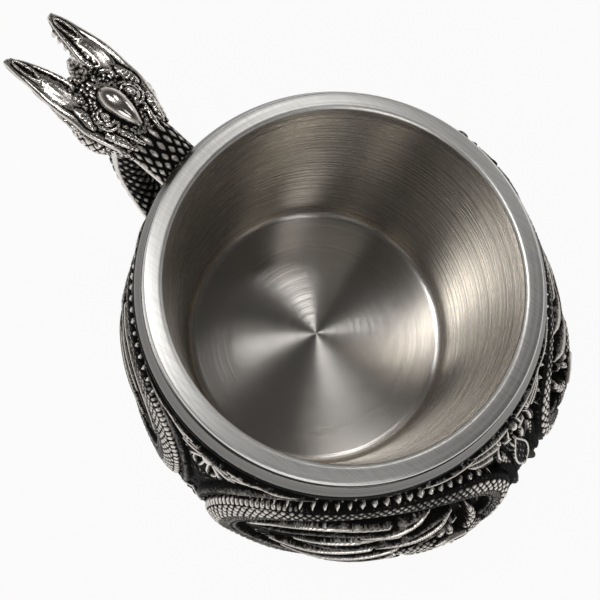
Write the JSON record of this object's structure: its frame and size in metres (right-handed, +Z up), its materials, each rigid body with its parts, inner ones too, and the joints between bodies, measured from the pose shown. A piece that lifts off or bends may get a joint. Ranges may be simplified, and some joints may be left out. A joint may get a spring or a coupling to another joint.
{
  "type": "tankard",
  "caption": "Round tankard with a dragon relief body, a dragon head handle and a lift-out steel liner with a flat rim.",
  "frame": {"origin": "on the cup axis at the underside of the base pad", "axes": "+Z up along the cup axis, -X towards the handle and the dragon head, Y across the handle plane"},
  "size_m": [0.172, 0.1272, 0.0904],
  "materials": {
    "liner_steel": "brushed",
    "collar_steel": "satin",
    "seal_rubber": "matte",
    "cast_silver": "antique silver plated resin",
    "grip_silver": "antique silver plated resin",
    "head_silver": "antique silver plated resin",
    "pin_steel": "plain",
    "pad_foam": "matte"
  },
  "bodies": {
    "tankard": {"collar_band": "collar_steel", "mug_body": "cast_silver", "handle_casting": "grip_silver", "dragon_head": "head_silver", "neck_pin": "pin_steel", "heel_pin": "pin_steel", "head_pin": "pin_steel", "base_pad": "pad_foam"},
    "liner": {"steel_liner": "liner_steel", "seal_ring": "seal_rubber"}
  },
  "joints": [
    {"name": "liner_lift", "type": "slide", "parent": "tankard", "child": "liner", "axis": [0, 0, 1], "range_m": [0, 0.09]}
  ]
}
